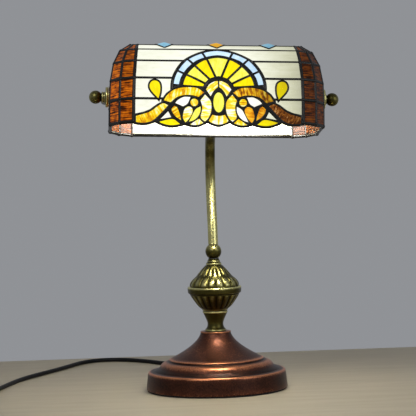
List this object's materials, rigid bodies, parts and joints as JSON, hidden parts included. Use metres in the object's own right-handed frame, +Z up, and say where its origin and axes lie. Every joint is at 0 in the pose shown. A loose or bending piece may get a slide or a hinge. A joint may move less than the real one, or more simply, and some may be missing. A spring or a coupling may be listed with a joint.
{
  "type": "stained glass table lamp",
  "caption": "Table lamp with a tilting leaded-glass barrel shade in a brass yoke on a gooseneck, over an embossed urn and a weighted round copper base, with cord, switch and plug.",
  "frame": {"origin": "centre of the round base's underside, on the table", "axes": "+Z up the column, +X along the shade towards its right end, -Y towards the front, where the shade's open side faces down and the pattern is seen"},
  "size_m": [0.521, 0.5519, 0.4245],
  "materials": {
    "base_copper": "spun sheet, mottled dark copper patina with rubbed orange edges",
    "antique_brass": "dark antique brass, rubbed bright on raised edges",
    "pad_felt": "black felt",
    "weight_iron": "rough cast",
    "steel_zinc": "zinc plated",
    "cream_glass": "opalescent art glass, slightly rippled, lit from inside",
    "amber_glass": "streaky amber art glass with dark streaks",
    "blue_jewel": "faceted pale blue glass nugget",
    "amber_jewel": "faceted amber glass nugget",
    "black_solder": "solder with black patina",
    "opal_glass": "opal white",
    "black_moulding": "moulded, satin",
    "cord_pvc": "smooth PVC sheath"
  },
  "bodies": {
    "stand": {"base_pad": "pad_felt", "base_shell": "base_copper", "base_weight": "weight_iron", "column_vase": "antique_brass", "cord_coil": "cord_pvc", "cord_long_lead": "cord_pvc", "cord_short_lead": "cord_pvc", "cord_tie": "black_moulding", "gooseneck_stem": "antique_brass", "neck_ball": "antique_brass", "plug": "black_moulding", "rod_nut": "steel_zinc", "strain_relief": "cord_pvc", "switch_housing": "black_moulding", "threaded_rod": "steel_zinc", "urn_belt": "antique_brass", "urn_collar": "antique_brass", "urn_lower_bowl": "antique_brass", "urn_upper_dome": "antique_brass", "yoke_arm_left": "antique_brass", "yoke_arm_right": "antique_brass", "yoke_hub": "antique_brass"},
    "shade": {"bulb_cap": "steel_zinc", "bulb_globe": "opal_glass", "corner_inner_front_left": "amber_glass", "corner_inner_front_right": "amber_glass", "corner_inner_rear_left": "amber_glass", "corner_inner_rear_right": "amber_glass", "corner_outer_front_left": "amber_glass", "corner_outer_front_right": "amber_glass", "corner_outer_rear_left": "amber_glass", "corner_outer_rear_right": "amber_glass", "crown_left": "amber_glass", "crown_right": "amber_glass", "end_pane_left": "amber_glass", "end_pane_right": "amber_glass", "end_plate_left": "antique_brass", "end_plate_right": "antique_brass", "finial_left": "antique_brass", "finial_right": "antique_brass", "front_pane_1": "cream_glass", "front_pane_2": "cream_glass", "front_pane_3": "cream_glass", "front_pane_4": "cream_glass", "front_pane_5": "cream_glass", "lampholder": "black_moulding", "pivot_nipple": "antique_brass", "pivot_screw": "antique_brass", "rear_pane_1": "cream_glass", "rear_pane_2": "cream_glass", "rear_pane_3": "cream_glass", "rear_pane_4": "cream_glass", "rear_pane_5": "cream_glass", "solder_lattice": "black_solder", "top_jewel_centre": "amber_jewel", "top_jewel_left": "blue_jewel", "top_jewel_right": "blue_jewel", "top_pane": "cream_glass"},
    "rocker": {"switch_rocker": "black_moulding"}
  },
  "joints": [
    {"name": "shade_tilt", "type": "hinge", "parent": "stand", "child": "shade", "pos_m": [0.00134, -0.105, 0.35697], "axis": [0.9993, 0, -0.0384], "range_deg": [-35, 40]},
    {"name": "switch_rocker_tip", "type": "hinge", "parent": "stand", "child": "rocker", "pos_m": [-0.29111, -0.04414, 0.0146], "axis": [0.995, -0.0995, 0], "range_deg": [-16, 0]}
  ]
}
